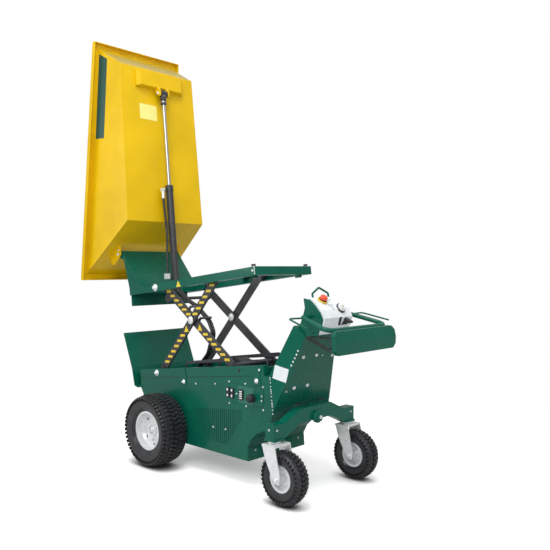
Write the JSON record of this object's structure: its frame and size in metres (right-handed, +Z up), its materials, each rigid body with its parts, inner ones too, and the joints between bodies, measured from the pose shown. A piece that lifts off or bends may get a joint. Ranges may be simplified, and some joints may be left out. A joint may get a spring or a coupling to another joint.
{
  "type": "high-tip site dumper",
  "caption": "Walk-behind site dumper with an inclined scissor lift, a front-tipping open skip, driven front wheels, rear castors and a control handle; shown raised and tipped.",
  "frame": {"origin": "on the ground at the middle of the footprint", "axes": "+X to the machine's left, -Y to its front where the skip tips, +Z up"},
  "size_m": [0.892, 2.217, 2.888],
  "materials": {
    "black_paint": "satin",
    "black_plastic": "matte",
    "black_rubber": "matte",
    "cast_grey": "matte",
    "chrome_rod": "polished",
    "green_paint": "gloss",
    "light_plastic": "satin",
    "red_plastic": "gloss",
    "tyre_rubber": "matte",
    "wheel_silver": "satin",
    "yellow_paint": "gloss",
    "zinc_steel": "satin"
  },
  "bodies": {
    "chassis": {"chassis_body": "green_paint", "side_panel_left": "green_paint", "side_panel_right": "green_paint", "chassis_rails": "green_paint", "front_apron": "green_paint", "battery_pack": "black_plastic", "drive_axle": "cast_grey", "switch_panel": "green_paint", "panel_controls": "black_plastic", "rear_beam": "green_paint", "beam_pivot": "zinc_steel", "tower": "green_paint", "rear_cover": "green_paint", "head_cheeks": "green_paint", "head_housing": "light_plastic", "stop_button": "red_plastic", "dial": "black_plastic", "head_lever": "black_plastic", "head_hoop": "green_paint", "handle_loop": "green_paint", "guard_bars": "green_paint", "stop_plate": "green_paint", "scissor_base": "black_paint", "lift_barrel": "black_paint"},
    "arm_b": {"arms_b": "black_paint"},
    "arm_a": {"arms_a": "black_paint", "lift_hoses": "black_rubber"},
    "lift_rod": {"lift_rod": "chrome_rod"},
    "lift_frame": {"top_frame": "green_paint", "hinge_plate": "green_paint", "front_skirt": "green_paint", "frame_buffers": "black_rubber"},
    "skip": {"skip_tub": "yellow_paint", "skip_rim": "yellow_paint", "skip_bracket": "yellow_paint", "skip_ears": "yellow_paint"},
    "tip_barrel": {"tip_barrel": "black_paint", "tip_hose": "black_rubber", "tip_fittings": "zinc_steel"},
    "tip_rod": {"tip_rod": "chrome_rod"},
    "castor_left": {"castor_fork_left": "zinc_steel"},
    "castor_right": {"castor_fork_right": "zinc_steel"},
    "castor_wheel_left": {"castor_tyre_left": "tyre_rubber", "castor_rim_left": "wheel_silver"},
    "castor_wheel_right": {"castor_tyre_right": "tyre_rubber", "castor_rim_right": "wheel_silver"},
    "drive_wheel_left": {"drive_tyre_left": "tyre_rubber", "drive_rim_left": "wheel_silver"},
    "drive_wheel_right": {"drive_tyre_right": "tyre_rubber", "drive_rim_right": "wheel_silver"}
  },
  "joints": [
    {"name": "lift", "type": "hinge", "parent": "chassis", "child": "arm_b", "pos_m": [0, -0.43638, 0.59321], "axis": [1, 0, 0], "range_deg": [-39.64, 0]},
    {"name": "scissor_cross", "type": "hinge", "parent": "arm_b", "child": "arm_a", "pos_m": [0, -0.13973, 0.93689], "axis": [1, 0, 0], "range_deg": [0, 79.43]},
    {"name": "frame_level", "type": "hinge", "parent": "arm_a", "child": "lift_frame", "pos_m": [0, -0.43626, 1.14452], "axis": [1, 0, 0], "range_deg": [-39.72, 0]},
    {"name": "lift_cylinder", "type": "slide", "parent": "chassis", "child": "lift_rod", "axis": [0, 0.9923, 0.1236], "range_m": [0, 0.23392]},
    {"name": "tip", "type": "hinge", "parent": "lift_frame", "child": "skip", "pos_m": [0, -0.86279, 1.36984], "axis": [1, 0, 0], "range_deg": [-88.4, 0]},
    {"name": "tip_cylinder_foot", "type": "hinge", "parent": "lift_frame", "child": "tip_barrel", "pos_m": [0, -0.54474, 1.13031], "axis": [1, 0, 0], "range_deg": [-89.36, 0]},
    {"name": "tip_cylinder", "type": "slide", "parent": "tip_barrel", "child": "tip_rod", "axis": [0, -0.1048, 0.9945], "range_m": [-0.55606, 0]},
    {"name": "castor_swivel_left", "type": "hinge", "parent": "chassis", "child": "castor_left", "pos_m": [0.32, 0.71922, 0.336], "axis": [0, 0, 1], "continuous": true},
    {"name": "castor_roll_left", "type": "hinge", "parent": "castor_left", "child": "castor_wheel_left", "pos_m": [0.32, 0.79422, 0.148], "axis": [1, 0, 0], "continuous": true},
    {"name": "drive_roll_left", "type": "hinge", "parent": "chassis", "child": "drive_wheel_left", "pos_m": [0.354, -0.31278, 0.23], "axis": [1, 0, 0], "continuous": true},
    {"name": "castor_swivel_right", "type": "hinge", "parent": "chassis", "child": "castor_right", "pos_m": [-0.32, 0.71922, 0.336], "axis": [0, 0, 1], "continuous": true},
    {"name": "castor_roll_right", "type": "hinge", "parent": "castor_right", "child": "castor_wheel_right", "pos_m": [-0.32, 0.79422, 0.148], "axis": [1, 0, 0], "continuous": true},
    {"name": "drive_roll_right", "type": "hinge", "parent": "chassis", "child": "drive_wheel_right", "pos_m": [-0.354, -0.31278, 0.23], "axis": [1, 0, 0], "continuous": true}
  ],
  "couplings": [
    {"joint": "scissor_cross", "follows": "lift", "ratio": -2},
    {"joint": "frame_level", "follows": "lift", "ratio": 1},
    {"joint": "lift_cylinder", "follows": "lift", "m_per_rad": -0.33745},
    {"joint": "tip_cylinder_foot", "follows": "tip", "ratio": 1.0089},
    {"joint": "tip_cylinder", "follows": "tip", "m_per_rad": 0.35969}
  ]
}
